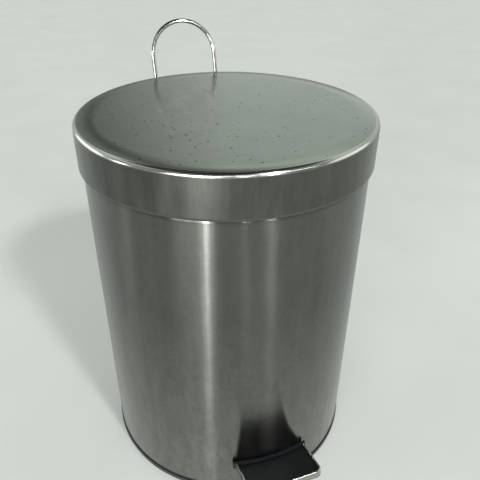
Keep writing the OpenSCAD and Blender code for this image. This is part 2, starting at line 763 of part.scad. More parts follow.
// Moulded bucket with a turned-down flange, two lugs for its bail and a relief for the hinge.
module inner_bucket() {
    color([0.16, 0.17, 0.17]) difference() {
        union() {
            rotate_extrude($fn = round_fn) polygon([
                [0, bucket_z + seat_gap], [bucket_foot_r, bucket_z + seat_gap], [bucket_r, flange_z],
                [flange_r - flange_t, flange_z], [flange_r - flange_t, flange_z - flange_lip],
                [flange_r, flange_z - flange_lip], [flange_r, rim_top],
                [bucket_r - bucket_wall, rim_top],
                [bucket_foot_r - bucket_wall, bucket_z + seat_gap + bucket_wall],
                [0, bucket_z + seat_gap + bucket_wall]]);
            for (side = [-1, 1]) {
                x0 = side > 0 ? bail_lug_in : -bail_lug_in - bail_lug_t;
                bar_x(bail_lug_r, x0, x0 + bail_lug_t, 0, bail_z);
                translate([x0, -bail_lug_r, rim_top - eps])
                    cube([bail_lug_t, 2 * bail_lug_r, bail_z - rim_top]);
            }
        }
        translate([-bucket_relief / 2, bucket_r + 0.3, flange_z - flange_lip - 1])
            cube([bucket_relief, 20, flange_lip + flange_t + 2]);
        bar_x(bail_r + run_gap, -body_r, body_r, 0, bail_z);
    }
}

// Shape drawn in the bail's own plane: it lies forward and rests on the bucket's flange.
module on_bail() {
    translate([0, 0, bail_z]) rotate([bail_sag, 0, 0]) children();
}

// Wire bail with its ends turned into the bucket's lugs.
module bucket_bail() {
    color([0.74, 0.74, 0.72]) on_bail() union() {
        for (side = [-1, 1]) mirror([side < 0 ? 1 : 0, 0, 0]) {
            bar_x(bail_r, bail_lug_in - 1, bail_x - bail_bend, 0, 0);
            translate([bail_x - bail_bend, -bail_bend, 0]) wire_arc(bail_bend, bail_r, 0, 90);
            bar_y(bail_r, -bail_shift, -bail_bend, bail_x, 0);
        }
        translate([0, -bail_shift, 0]) wire_arc(bail_x, bail_r, 180, 180);
    }
}

// Plastic grip moulded round the middle of the bail.
module bail_grip() {
    color([0.10, 0.10, 0.10]) on_bail() translate([0, -bail_shift, 0]) difference() {
        wire_arc(bail_x, grip_r, 270 - grip_half, 2 * grip_half);
        wire_arc(bail_x, bail_r + press_gap, 270 - grip_half - 2, 2 * grip_half + 4);
    }
}

outer_body();
base_moulding();
base_feet();
lever_axle();
axle_clips();
lever_stop();
rod_guide();
hinge_housing();
hinge_rivets();
pedal_lever();
pedal_plate();
pedal_pad();
pedal_rivets();
push_rod();
rod_clips();
lid_shell();
lid_bracket();
hinge_bushes();
lid_bumpers();
carry_handle();
inner_bucket();
bucket_bail();
bail_grip();
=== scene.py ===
# %% [markdown]
# # A step-pedal waste bin in brushed steel
#
# The solids come ready made and at their real size: a steel tube on a black base, a lid on a hinge with a
# wire carrying handle, a pedal, a push rod and a bucket. This lesson dresses them. It starts with the camera
# and the light, then works out each finish from the real material and the way its surface was made, and adds
# the few thin details that are too small to be solids.

import math
from functools import partial

import bpy
import numpy as np
from mathutils import Matrix, Vector


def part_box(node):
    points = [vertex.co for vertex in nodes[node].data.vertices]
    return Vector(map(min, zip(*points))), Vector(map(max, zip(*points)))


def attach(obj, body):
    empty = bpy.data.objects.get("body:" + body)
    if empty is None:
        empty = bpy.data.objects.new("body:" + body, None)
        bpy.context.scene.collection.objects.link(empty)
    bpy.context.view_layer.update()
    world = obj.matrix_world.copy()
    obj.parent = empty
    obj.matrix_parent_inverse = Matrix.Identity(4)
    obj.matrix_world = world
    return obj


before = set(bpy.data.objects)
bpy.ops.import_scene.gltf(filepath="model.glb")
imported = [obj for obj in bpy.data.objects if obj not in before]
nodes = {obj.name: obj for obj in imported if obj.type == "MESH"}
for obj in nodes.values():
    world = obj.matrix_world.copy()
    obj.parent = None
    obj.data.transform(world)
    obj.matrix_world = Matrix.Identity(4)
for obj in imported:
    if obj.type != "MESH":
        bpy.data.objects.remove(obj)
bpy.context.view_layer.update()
scene = bpy.context.scene

MM = 0.001

# %% [markdown]
# ## Main measures
#
# Every later piece takes its place from the solids. The body's radius comes from its box across X, where
# nothing stands proud of the tube, and its lower end from the same box. The lid and the hinge's housing give
# theirs in the same way.

# %% Measures taken from the solids
body_low, body_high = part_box("outer_body")
lid_low, lid_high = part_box("lid_shell")
housing_low, housing_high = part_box("hinge_housing")
body_radius = body_high.x
lid_radius = lid_high.x
lid_top = lid_high.z
print(f"radius of the body {body_radius / MM:.1f} mm and of the lid {lid_radius / MM:.1f} mm")
print(f"height of the lid's top {lid_top / MM:.1f} mm")

# %% [markdown]
# ## Camera
#
# The bin is seen from above and a little from the left of its pedal, with the lid's middle some 0.4 m away.
# A camera could be aimed by hand, but a matrix is exact. It is built from the direction it looks in: its Z
# axis points backwards, its X axis lies level to the right, and a small roll turns both about the line of
# sight.

# %% Place the camera
CAMERA_PLACE = Vector((-111.3, -336.4, 392.3)) * MM
CAMERA_LOOK = Vector((0.2875, 0.7974, -0.5305)).normalized()
CAMERA_ROLL = math.radians(0.33)
CAMERA_LENS = 39.906        # focal length and sensor width, both in millimetres
CAMERA_SENSOR = 36.0

camera_data = bpy.data.cameras.new("camera")
camera_data.lens = CAMERA_LENS
camera_data.sensor_width = CAMERA_SENSOR
camera = bpy.data.objects.new("camera", camera_data)
scene.collection.objects.link(camera)
level_right = CAMERA_LOOK.cross(Vector((0, 0, 1))).normalized()
level_up = level_right.cross(CAMERA_LOOK)
right = math.cos(CAMERA_ROLL) * level_right + math.sin(CAMERA_ROLL) * level_up
up = right.cross(CAMERA_LOOK)
turn = Matrix((right, up, -CAMERA_LOOK)).transposed()
camera.matrix_world = Matrix.Translation(CAMERA_PLACE) @ turn.to_4x4()
scene.camera = camera
lid_middle = Vector((0, 0, lid_top))
print("camera distance to the lid:", round((CAMERA_PLACE - lid_middle).length, 3), "m")

# %% [markdown]
# ## Colours and nodes
#
# Colours are written as the usual sRGB hex values. The shaders work in linear light, so one function turns
# the one into the other. A second function adds a node of any kind: it takes the node's settings and, for
# each input, a value or whatever feeds it. Every material below is built with this one function, and each
# material hands out its own copy of it, bound to its node tree and called add.

# %% Helpers for colours and nodes
def linear(hex_colour):
    """Linear RGBA of an sRGB hex colour: below 0.04045 a channel is divided by 12.92, above it
    becomes ((c + 0.055) / 1.055) to the power 2.4."""
    srgb = [int(hex_colour[i:i + 2], 16) / 255 for i in (1, 3, 5)]
    return (*[c / 12.92 if c <= 0.04045 else ((c + 0.055) / 1.055) ** 2.4 for c in srgb], 1.0)


def add_node(tree, kind, inputs=(), stops=(), **settings):
    """Adds one shader node of a kind and returns it. settings are its properties, and stops the (position,
    grey or hex colour) pairs of a colour ramp. inputs are values in the order of its sockets, or a
    dictionary by their names or numbers. Another node in place of a value feeds the socket from its first
    output in use, and an output feeds it as it is."""
    node = tree.nodes.new("ShaderNode" + kind)
    for name, value in settings.items():
        setattr(node, name, value)
    if stops:
        while len(node.color_ramp.elements) < len(stops):
            node.color_ramp.elements.new(0.5)
        for element, (position, colour) in zip(node.color_ramp.elements, stops):
            element.position = position
            element.color = linear(colour) if isinstance(colour, str) else (colour, colour, colour, 1)
    for key, value in (inputs if isinstance(inputs, dict) else dict(enumerate(inputs))).items():
        if isinstance(value, bpy.types.Node):
            value = next(output for output in value.outputs if output.enabled)
        if isinstance(value, bpy.types.NodeSocket):
            tree.links.new(value, node.inputs[key])
        else:
            node.inputs[key].default_value = value
    return node


def new_material(name):
    """An empty node material, and add_node bound to its tree."""
    material = bpy.data.materials.new(name)
    material.use_nodes = True
    material.node_tree.nodes.clear()
    return material, partial(add_node, material.node_tree)

print("steel grey in linear light:", [round(c, 3) for c in linear("#8a8b87")[:3]])

# %% [markdown]
# ## Floor
#
# The bin stands on a plain pale floor, like one in matt paint. A single square is enough for it, made far
# wider than the bin so that its edge stays out of the way. It takes no shine at all: the low lamps would
# otherwise glare on it for an eye that looks towards them. A faint cloudiness keeps it from looking like
# paper.

# %% Floor
FLOOR_HALF = 6.0
FLOOR_CLOUD = 111.1 * MM

corners = [(-1, -1), (1, -1), (1, 1), (-1, 1)]
floor_mesh = bpy.data.meshes.new("floor")
floor_mesh.from_pydata([(x * FLOOR_HALF, y * FLOOR_HALF, 0) for x, y in corners], [], [(0, 1, 2, 3)])
floor = bpy.data.objects.new("floor", floor_mesh)
scene.collection.objects.link(floor)

floor_paint, add = new_material("matt_painted_floor")
place = add("TexCoord").outputs["Object"]
clouds = add("TexNoise", {"Vector": place, "Scale": 1 / FLOOR_CLOUD, "Detail": 3.0})
shade = add("ValToRGB", (clouds,), stops=[(0.3, "#dadeda"), (0.7, "#e0e2df")])
surface = add("BsdfPrincipled", {"Base Color": shade, "Roughness": 0.9, "Specular IOR Level": 0.0})
add("OutputMaterial", (surface,))
floor_mesh.materials.append(floor_paint)
print("floor:", 2 * FLOOR_HALF, "m wide, in", floor_paint.name)

# %% [markdown]
# ## Lamps
#
# The key lamp is a sun-like lamp to the right of the camera, about forty degrees up, which throws the bin's
# shadow backwards to the left. A long, thin rim lamp, higher up behind the camera, draws the bright line
# along the lid's shoulder. One big soft lamp would light the steel too evenly. The grain of the tube runs
# round it, and grain spreads a reflection across itself, so a small low lamp is drawn out into an upright
# streak. The low lamps are far away and sun-like, so that each gives one straight streak and leaves no patch
# on the floor: a window and its bright edge on the left, a very narrow lamp that draws the thin line at the
# window's inner side, and three gaps between curtains, two nearer the front and one far round on the left.
# Two broad fills soften the tube's left and right sides. The narrow line lamp casts no shadow, because its
# hard one would fall beside the key lamp's.

# %% Lamps
LAMP_AIM = Vector((0, 0, 0.14))

# name, kind, azimuth and elevation in degrees, distance in metres, strength of a sun or watts of a strip,
# and the width: degrees for a sun, metres for a strip, whose height follows
LAMPS = [
    ("key_lamp", "SUN", -72, 39, 2.0, 1.04, 6.0),
    ("rim_lamp", "AREA", -92, 29, 1.3, 5.4, 2.4, 0.02),
    ("window_lamp", "SUN", -139, 7, 2.0, 1.15, 20.0),
    ("window_edge", "SUN", -128.5, 7, 2.0, 0.38, 6.0),
    ("line_lamp", "SUN", -123.4, 7, 2.0, 3.7, 0.6),
    ("front_gap", "SUN", -96, 7, 2.0, 0.24, 5.0),
    ("right_gap", "SUN", -77, 7, 2.0, 0.52, 7.0),
    ("left_gap", "SUN", 173, 7, 2.0, 0.34, 10.0),
    ("left_fill", "SUN", 138, 3, 2.0, 0.72, 40.0),
    ("right_fill", "SUN", -12, 6, 2.0, 0.55, 44.0)]


def direction_to(azimuth, elevation):
    """Unit vector towards an azimuth, in degrees from +X towards +Y, and an elevation:
    (cos a cos e, sin a cos e, sin e)."""
    a, e = math.radians(azimuth), math.radians(elevation)
    return Vector((math.cos(a) * math.cos(e), math.sin(a) * math.cos(e), math.sin(e)))


for name, kind, azimuth, elevation, distance, power, width, *height in LAMPS:
    away = direction_to(azimuth, elevation)
    lamp_data = bpy.data.lights.new(name, kind)
    lamp_data.energy = power
    if kind == "SUN":
        lamp_data.angle = math.radians(width)
    else:
        lamp_data.shape, lamp_data.size, lamp_data.size_y = "RECTANGLE", width, height[0]
    lamp = bpy.data.objects.new(name, lamp_data)
    lamp.location = LAMP_AIM + away * distance
    lamp.rotation_euler = away.to_track_quat("Z", "Y").to_euler()
    lamp.visible_camera = False
    scene.collection.objects.link(lamp)
bpy.data.lights["line_lamp"].use_shadow = False
print("lamps:", len(LAMPS))

# %% [markdown]
# ## Room
#
# Steel shows the room more than it shows its lamps, so the room matters most here: it is pale behind the
# bin, which the lid's flat top mirrors, and dim around the camera. Overhead it is dark, and that gives the
# dark band along the lid's shoulder. A picture of a real room could stand in its place, but a formula is
# easier to change where one reflection is wrong. So the room is a colour in each direction: a ramp round the
# walls times a ramp from the horizon up to the ceiling, with a faint cast that turns warmer on the left.

# %% Room
ROOM_LEVEL = 1.16
HORIZON_HEIGHT = 0.09       # the sine of the elevation at which the plain band over the floor has faded out


def share(azimuth):
    """Place of an azimuth on the ramp round the room: 0 at -180 degrees, 1 at 180."""
    return (azimuth + 180) / 360


world = bpy.data.worlds.new("pale_room")
scene.world = world
world.use_nodes = True
world.node_tree.nodes.clear()
add = partial(add_node, world.node_tree)
direction = add("SeparateXYZ", (add("TexCoord").outputs["Generated"],)).outputs
around = add("Math", (direction["Y"], direction["X"]), operation="ARCTAN2")
turned_by = add("MapRange", (around, -math.pi, math.pi, 0.0, 1.0))
walls = add("ValToRGB", (turned_by,), stops=[
    (share(-180), 0.62), (share(-155), 0.36), (share(-130), 0.18), (share(-112), 0.11), (share(-104), 0.12),
    (share(-97), 0.18), (share(-91), 0.17), (share(-87), 0.12), (share(-82), 0.15), (share(-75), 0.19),
    (share(-60), 0.16), (share(-30), 0.52), (share(0), 1.0), (share(71), 1.0), (share(90), 0.18),
    (share(112), 1.0), (share(150), 0.9), (share(180), 0.60)])
heights = add("ValToRGB", (direction["Z"],), stops=[
    (0.0, 0.85), (0.45, 0.66), (0.58, 0.92), (0.64, 1.0), (0.72, 1.0), (0.78, 0.07), (0.89, 0.07),
    (0.97, 0.13), (1.0, 0.22)])
room = add("Mix", {0: 1.0, 6: walls, 7: heights}, data_type="RGBA", blend_type="MULTIPLY")
above_horizon = add("MapRange", (direction["Z"], 0.0, HORIZON_HEIGHT, 0.0, 1.0))
sky = add("Mix", {0: above_horizon, 6: linear("#a2a6a2"), 7: room}, data_type="RGBA")
cast = add("ValToRGB", (turned_by,), stops=[
    (share(-180), "#f9fffa"), (share(-135), "#fffdf8"), (share(-100), "#fdfdf9"), (share(-60), "#f4fff6"),
    (share(180), "#f9fffa")])
tinted = add("Mix", {0: 1.0, 6: sky, 7: cast}, data_type="RGBA", blend_type="MULTIPLY")
add("OutputWorld", (add("Background", {"Color": tinted, "Strength": ROOM_LEVEL}),))
scene.view_settings.view_transform = "Standard"
print("room:", world.name, "with", len(world.node_tree.nodes), "nodes")

# %% [markdown]
# ## Marks on a wall
#
# Sheet for bins is 430 or 304 stainless, brushed with a fine abrasive belt. Each scratch is a tiny groove, so
# light spreads widely across the grooves and hardly along them. A pattern could be painted round the wall,
# but noise needs no picture and has its one join at the back. So the marks that follow a wall are noise on
# the wall rolled out flat: the angle times the radius gives the arc length, and the noise is drawn out to
# the marks' width and height.

# %% Helpers for marks
def unrolled(add, radius):
    """The wall rolled out flat. Gives the arc length from the front, the height and the place, in metres;
    the arc length is the angle of (x, -y) times the radius, so the join lies at the back."""
    place = add("TexCoord").outputs["Object"]
    split = add("SeparateXYZ", (place,)).outputs
    back = add("Math", (split["Y"], -1.0), operation="MULTIPLY")
    angle = add("Math", (split["X"], back), operation="ARCTAN2")
    arc = add("Math", (angle, radius), operation="MULTIPLY")
    return arc, split["Z"], place


def marks(add, level, upright, wide, tall, detail, rough=0.6):
    """Noise from 0 to 1 with marks about wide along the measure level and tall along the measure upright,
    all in metres: the noise at the point (level / wide, upright / tall)."""
    point = add("CombineXYZ", (add("Math", (level, wide), operation="DIVIDE"),
                               add("Math", (upright, tall), operation="DIVIDE")))
    return add("TexNoise", {"Vector": point, "Scale": 1.0, "Detail": detail, "Roughness": rough})


def weighted(add, *pairs):
    """Sum of value times weight over (value, weight) pairs."""
    total = 0.0
    for value, weight in pairs:
        total = add("Math", (value, weight, total), operation="MULTIPLY_ADD")
    return total

print("the tube's wall rolls out to", round(2 * math.pi * body_radius / MM), "mm")

# %% [markdown]
# ## Splashes, painted light and painted shade on the tube
#
# Low on the wall, dried splashes turn the steel lighter and greyish: they are strongest near the floor and
# fade out upwards. That lightening is partly painted light as well, for the bright floor that the low wall
# mirrors. Right under the lid the tube necks in a little, which catches the low lamps in a short bright line,
# and a dark band painted there is painted shade, for the shadow in the gap between the skirt and the tube.
# The neck is too slight for the solid, and a bump is enough for it. Each of these is a share from 0 to 1 that
# depends on the height, broken up by noise.

# %% Splashes with painted sheen, painted gap shade and neck
SPLASH_SHEEN_LOW = 10 * MM      # the splashes and the painted sheen fade out between these two heights
SPLASH_SHEEN_HIGH = 170 * MM
GAP_SHADE_LOW = 4.5 * MM         # how far under the skirt's edge the painted gap shade starts, and is full
GAP_SHADE_FULL = 1.0 * MM
GAP_SHADE_HIGH = 3.0 * MM        # how far above the edge, out of sight, the painted shade ends
NECK_TALL = 3.0 * MM
NECK_DEPTH = 0.70 * MM


def splash_and_sheen_share(add, height, drips, mottle):
    """Share of dried splashes, and of painted light for the bright floor mirrored low on the wall: a fade up
    the wall times the splashes' own pattern.
    """
    low_wall = add("MapRange", (height, SPLASH_SHEEN_LOW, SPLASH_SHEEN_HIGH, 0.48, 0.0))
    splashes = add("MapRange", (weighted(add, (drips, 0.6), (mottle, 0.4)), 0.42, 0.60, 0.55, 1.10))
    return add("Math", (low_wall, splashes), operation="MULTIPLY")


def gap_shade_share(add, height, edge, smear):
    """Share of painted shade under the skirt's lower edge, for the shadow in the gap: a narrow band round the
    height of the edge, made patchy.
    """
    under_edge = add("MapRange", (height, edge - GAP_SHADE_LOW, edge - GAP_SHADE_FULL, 0.0, 1.0))
    over_edge = add("MapRange", (height, edge, edge + GAP_SHADE_HIGH, 1.0, 0.0))
    band = add("Math", (under_edge, over_edge), operation="MULTIPLY")
    patchy = add("MapRange", (smear, 0.35, 0.65, 0.2, 0.5))
    return add("Math", (band, patchy), operation="MULTIPLY")


def necked(add, height, edge):
    """Normal of the tube with its neck, whose relief is 1 - s squared: s grows from 0 at the neck's foot to
    1 at the skirt's lower edge."""
    bend = add("MapRange", (height, edge - NECK_TALL, edge, 0.0, 1.0))
    inwards = add("Math", (bend, 2.0), operation="POWER")
    relief = add("Math", (1.0, inwards), operation="SUBTRACT")
    return add("Bump", {"Height": relief, "Strength": 1.0, "Distance": NECK_DEPTH})

print("the skirt's edge is at", round(lid_low.z / MM, 1), "mm, the neck's foot", NECK_TALL / MM, "mm lower")

# %% [markdown]
# ## Brushed stainless tube
#
# The tube is brushed round its axis: lamps become tall streaks, and the grain shows as faint level lines.
# Painted streaks would stand still when the eye moves, so the shader makes them from a high anisotropy with
# its stretch turned to the axis. Real grooves are some 0.1 mm apart; they are drawn about 0.8 mm apart, so
# that they show. A rolled sheet is never quite round either: tall flats a few millimetres wide, a very low
# bump, break the mirrored room up into upright bands.

# %% Brushed tube
GRAIN_WIDE = 60 * MM        # marks: how wide along the wall's arc, and how tall
GRAIN_TALL = 0.8 * MM
SMEAR_WIDE = 12 * MM
SMEAR_TALL = 50 * MM
FLAT_WIDE = 6 * MM
FLAT_TALL = 900 * MM
DRIP_WIDE = 7 * MM
DRIP_TALL = 25 * MM
MOTTLE = 3.03 * MM
POLISHED_LOW = 20 * MM      # the wall is handled less, and stays shinier, towards the lower of these heights
POLISHED_HIGH = 200 * MM


def brushed_tube(name, radius, edge, dark, light):
    """Steel brushed round the axis, from dark to light along its grain, smears, flats and mottle; edge is
    the height of the skirt's lower edge."""
    material, add = new_material(name)
    arc, height, place = unrolled(add, radius)
    grain = marks(add, arc, height, GRAIN_WIDE, GRAIN_TALL, 3.0)
    smear = marks(add, arc, height, SMEAR_WIDE, SMEAR_TALL, 4.0)
    flats = marks(add, arc, height, FLAT_WIDE, FLAT_TALL, 3.0)
    drips = marks(add, arc, height, DRIP_WIDE, DRIP_TALL, 4.0)
    mottle = add("TexNoise", {"Vector": place, "Scale": 1 / MOTTLE, "Detail": 5.0, "Roughness": 0.7})
    tone = weighted(add, (grain, 0.18), (smear, 0.34), (flats, 0.20), (mottle, 0.28))
    clean = add("ValToRGB", (tone,), stops=[(0.38, dark), (0.62, light)])
    splash_and_sheen = splash_and_sheen_share(add, height, drips, mottle)
    # partly painted light: the low wall is lightened towards #a2a39d for the bright floor it mirrors,
    # together with real dried splashes
    with_splash_sheen = add("Mix", {0: splash_and_sheen, 6: clean, 7: linear("#a2a39d")}, data_type="RGBA")
    # painted shade: a patchy band under the skirt's edge darkens towards #24231f, for the shadow in the gap
    # between the skirt and the tube
    gap_shaded = gap_shade_share(add, height, edge, smear)
    colour = add("Mix", {0: gap_shaded, 6: with_splash_sheen, 7: linear("#24231f")}, data_type="RGBA")

    neck = necked(add, height, edge)
    rolled = add("Bump", {"Height": flats, "Strength": 0.55, "Distance": 0.10 * MM, "Normal": neck})
    brushed = add("Bump", {"Height": grain, "Strength": 0.05, "Distance": 0.05 * MM, "Normal": rolled})
    polish = add("MapRange", (height, POLISHED_LOW, POLISHED_HIGH, -0.08, 0.0))
    roughness = add("MapRange", (tone, 0.35, 0.65, 0.205, 0.240))
    surface = add("BsdfPrincipled", {
        "Base Color": colour, "Metallic": 1.0, "Normal": brushed,
        "Roughness": add("Math", (polish, roughness), operation="ADD"),
        "Anisotropic": 1.0, "Anisotropic Rotation": 0.25,
        "Tangent": add("Tangent", direction_type="RADIAL", axis="Z")})
    add("OutputMaterial", (surface,))
    return material


body_steel = brushed_tube("brushed_stainless_tube", body_radius, lid_low.z, "#5a5b58", "#6a6b67")
print("tube:", body_steel.name, "with", len(body_steel.node_tree.nodes), "nodes")

# %% [markdown]
# ## The lid's shoulder
#
# The lid's shoulder was burnished by the tool that drew it, so it should mirror the room smoothly. The mesh
# has flat facets there, which such a surface would show. More facets would help, but the solids keep their
# meshes, so the shader works out the smooth normal itself, from the shoulder's radius.

# %% Smooth normal of the shoulder
SHOULDER = 3.0 * MM


def shoulder_normal(add, level, from_axis, height, radius, top):
    """Smooth normal of the lid's outer face: it points from the shoulder's centre line, which lies one
    shoulder radius inside the rim and under the top; it is upright on the top and level on the skirt.
    Inside the lid, nearer to the centre line, the mesh's own normal stays."""
    past_centre = add("Math", (from_axis, radius - SHOULDER), operation="SUBTRACT")
    over_centre = add("Math", (height, top - SHOULDER), operation="SUBTRACT")
    out = add("Math", (past_centre, 0.0), operation="MAXIMUM")
    up = add("Math", (over_centre, 0.0), operation="MAXIMUM")
    outward = add("VectorMath", (level,), operation="NORMALIZE")
    sideways = add("VectorMath", {0: outward, "Scale": out}, operation="SCALE")
    spoke = add("VectorMath", (sideways, add("CombineXYZ", {2: up})), operation="ADD")
    reach = add("VectorMath", (spoke,), operation="LENGTH")
    outer_face = add("MapRange", (reach, 0.90 * SHOULDER, 0.95 * SHOULDER, 0.0, 1.0))
    turned_spoke = add("VectorTransform", (spoke,), vector_type="NORMAL",
                       convert_from="OBJECT", convert_to="WORLD")
    smooth = add("VectorMath", (turned_spoke,), operation="NORMALIZE")
    given = add("NewGeometry").outputs["Normal"]
    return add("Mix", {0: outer_face, 4: given, 5: smooth}, data_type="VECTOR")

print("shoulder:", round(SHOULDER / MM, 1), "mm of radius")

# %% [markdown]
# ## Zones and traces of the lid
#
# One solid has one material, so the shader tells the lid's zones apart by their place: the flat top, the
# skirt, and the narrow burnished bands between and below them. The top isn't quite flat. The sheet falls by
# about two millimetres towards the rim, which mirrors the darker part of the room there, and that is a bump
# over the smooth normal. Fine dark specks lie on the top: each cell of a cell pattern holds one or none.

# %% Zones, crown and specks
HEM_LOW = 1.2 * MM          # the burnished hem ends between these two heights over the lower edge
HEM_HIGH = 1.8 * MM
BAND_LOW = 2.8 * MM         # the burnished shoulder starts between these two depths under the top
BAND_HIGH = 1.8 * MM
FLAT_OUT = 2.9 * MM         # the flat top ends between these two distances from the rim
FLAT_IN = 3.4 * MM
BRUSHED_OUT = 4 * MM        # and its brushing fades between these two
BRUSHED_IN = 12 * MM
CROWN_WIDE = 15 * MM        # the crown starts this far inside the rim
CROWN_FALL = 5 * MM         # and falls straight from here to the rim
CROWN_DEPTH = 1.10 * MM
SPECK_CELL = 4.762 * MM


def lid_zones(add, from_axis, height, radius, low, top):
    """Shares from 0 to 1: the flat top, the part of it that is brushed in full, and the skirt."""
    flat = add("MapRange", (from_axis, radius - FLAT_IN, radius - FLAT_OUT, 1.0, 0.0))
    brushed = add("MapRange", (from_axis, radius - BRUSHED_IN, radius - BRUSHED_OUT, 1.0, 0.0))
    above_hem = add("MapRange", (height, low + HEM_LOW, low + HEM_HIGH, 0.0, 1.0))
    below_shoulder = add("MapRange", (height, top - BAND_LOW, top - BAND_HIGH, 1.0, 0.0))
    return flat, brushed, add("Math", (above_hem, below_shoulder), operation="MULTIPLY")


def crowned(add, from_axis, radius, base):
    """Normal of the crowned sheet. Its relief is 2 - s squared - t: s grows from 0 where the crown starts to
    1 where the straight fall does, and t from 0 there to 1 at the rim."""
    bend = add("MapRange", (from_axis, radius - CROWN_WIDE, radius - CROWN_FALL, 0.0, 1.0))
    curve = add("Math", (bend, 2.0), operation="POWER")
    straight = add("MapRange", (from_axis, radius - CROWN_FALL, radius, 0.0, 1.0))
    fall = add("Math", (curve, straight), operation="ADD")
    relief = add("Math", (2.0, fall), operation="SUBTRACT")
    return add("Bump", {"Height": relief, "Strength": 1.0, "Distance": CROWN_DEPTH, "Normal": base})


def speck_share(add, place, flat):
    """Share of dark specks on the top: where a cell's random number is over 0.72, a dot lies round the
    cell's point, and it is the wider the higher the number is."""
    cells = add("TexVoronoi", {"Vector": place, "Scale": 1 / SPECK_CELL}, voronoi_dimensions="2D").outputs
    chance = add("SeparateColor", (cells["Color"],))
    dot = add("MapRange", (chance, 0.72, 1.0, 0.0, 0.20))
    speck = add("Math", (cells["Distance"], dot), operation="LESS_THAN")
    on_top = add("Math", (speck, flat), operation="MULTIPLY")
    return add("Math", (on_top, 0.8), operation="MULTIPLY")

print("flat top:", round((lid_radius - FLAT_IN) / MM, 1), "mm of radius; the crown starts at",
      round((lid_radius - CROWN_WIDE) / MM, 1), "mm")

# %% [markdown]
# ## Satin stainless lid
#
# The lid is drawn from satin sheet: its top is finer and smoother than the tube, and mirrors the wire loop
# where the two come close. The belt ran over it from side to side. Its skirt was pulled through a die, which
# leaves soft upright smears, and its shoulder and its rolled hem were burnished. Faint water marks lie on
# the top. The shader's tangent follows the grain: level round the skirt, and along X on the top. Belt marks
# are some 0.1 mm apart on a real lid, and drawn 0.7 mm apart.

# %% Satin lid
BELT_LONG = 50 * MM         # belt marks: along X and across
BELT_STEP = 0.7 * MM
DRAWN_WIDE = 8 * MM
DRAWN_TALL = 60 * MM
STAIN = 41.67 * MM


def satin_lid(name, radius, low, top):
    """Steel for the lid, between the heights low and top."""
    material, add = new_material(name)
    arc, height, place = unrolled(add, radius)
    split = add("SeparateXYZ", (place,)).outputs
    level = add("CombineXYZ", (split["X"], split["Y"]))
    from_axis = add("VectorMath", (level,), operation="LENGTH")
    flat, brushed, skirt = lid_zones(add, from_axis, height, radius, low, top)

    belt = marks(add, split["X"], split["Y"], BELT_LONG, BELT_STEP, 3.0)
    drawn = marks(add, arc, height, DRAWN_WIDE, DRAWN_TALL, 4.0, 0.65)
    stain = add("TexNoise", {"Vector": place, "Scale": 1 / STAIN, "Detail": 5.0, "Roughness": 0.65})
    side_tone = weighted(add, (drawn, 0.6), (stain, 0.4))
    top_tone = weighted(add, (belt, 0.35), (stain, 0.65))
    up_the_lid = add("MapRange", (height, low, top, 0.0, 1.0))
    # painted light and shade: the top and the skirt are one sheet, but the top's tones are painted lighter
    # for the light it catches, and the skirt's painted darker as shade
    shaded_side_colour = add("ValToRGB", (side_tone,), stops=[(0.36, "#4c4e4b"), (0.64, "#61635e")])
    lit_top_colour = add("ValToRGB", (top_tone,), stops=[(0.36, "#868b84"), (0.64, "#91968e")])
    burnished = add("ValToRGB", (up_the_lid,), stops=[(0.4, "#666663"), (0.6, "#a8a8a3")])
    sides = add("Mix", {0: skirt, 6: burnished, 7: shaded_side_colour}, data_type="RGBA")
    sheet = add("Mix", {0: flat, 6: sides, 7: lit_top_colour}, data_type="RGBA")
    specks = speck_share(add, place, flat)
    speckled = add("Mix", {0: specks, 6: sheet, 7: linear("#4a4c47")}, data_type="RGBA")

    rough_top = add("MapRange", (stain, 0.3, 0.7, 0.18, 0.22))
    rough_side = add("MapRange", (skirt, 0.0, 1.0, 0.17, 0.30))
    grained = add("Math", (brushed, skirt), operation="MAXIMUM")
    smooth = shoulder_normal(add, level, from_axis, height, radius, top)
    crown = crowned(add, from_axis, radius, smooth)
    belt_strength = add("Math", (brushed, 0.10), operation="MULTIPLY")
    ring = add("Tangent", direction_type="RADIAL", axis="Z")
    along_x = add("VectorTransform", ((1, 0, 0),), vector_type="VECTOR", convert_from="OBJECT",
                  convert_to="WORLD")
    surface = add("BsdfPrincipled", {
        "Base Color": speckled, "Metallic": 1.0,
        "Roughness": add("Mix", {0: flat, 2: rough_side, 3: rough_top}),
        "Anisotropic": add("Math", (grained, 0.6), operation="MULTIPLY"), "Anisotropic Rotation": 0.25,
        "Normal": add("Bump", {"Height": belt, "Strength": belt_strength, "Distance": 0.04 * MM,
                               "Normal": crown}),
        "Tangent": add("Mix", {0: flat, 4: ring, 5: along_x}, data_type="VECTOR")})
    add("OutputMaterial", (surface,))
    return material


lid_steel = satin_lid("satin_stainless_lid", lid_radius, lid_low.z, lid_top)
print("lid:", lid_steel.name, "with", len(lid_steel.node_tree.nodes), "nodes")

# %% [markdown]
# ## Pressed, drawn and plated metal
#
# The pedal is folded from the same satin sheet as the lid. The push rod and the bail are drawn wire, plated
# with zinc, and the carrying loop is ground, nickel plated and polished. The push-on washers are hardened
# and keep their dark oiled scale. Rivets are soft aluminium, a little dented where the tool set them. All of
# these are small, so one recipe serves them, a cloud over the piece and a fine grain in it, and each metal
# has its own tones, roughness and size of grain.

# %% Small metal pieces
METAL_CLOUD = 22.22 * MM


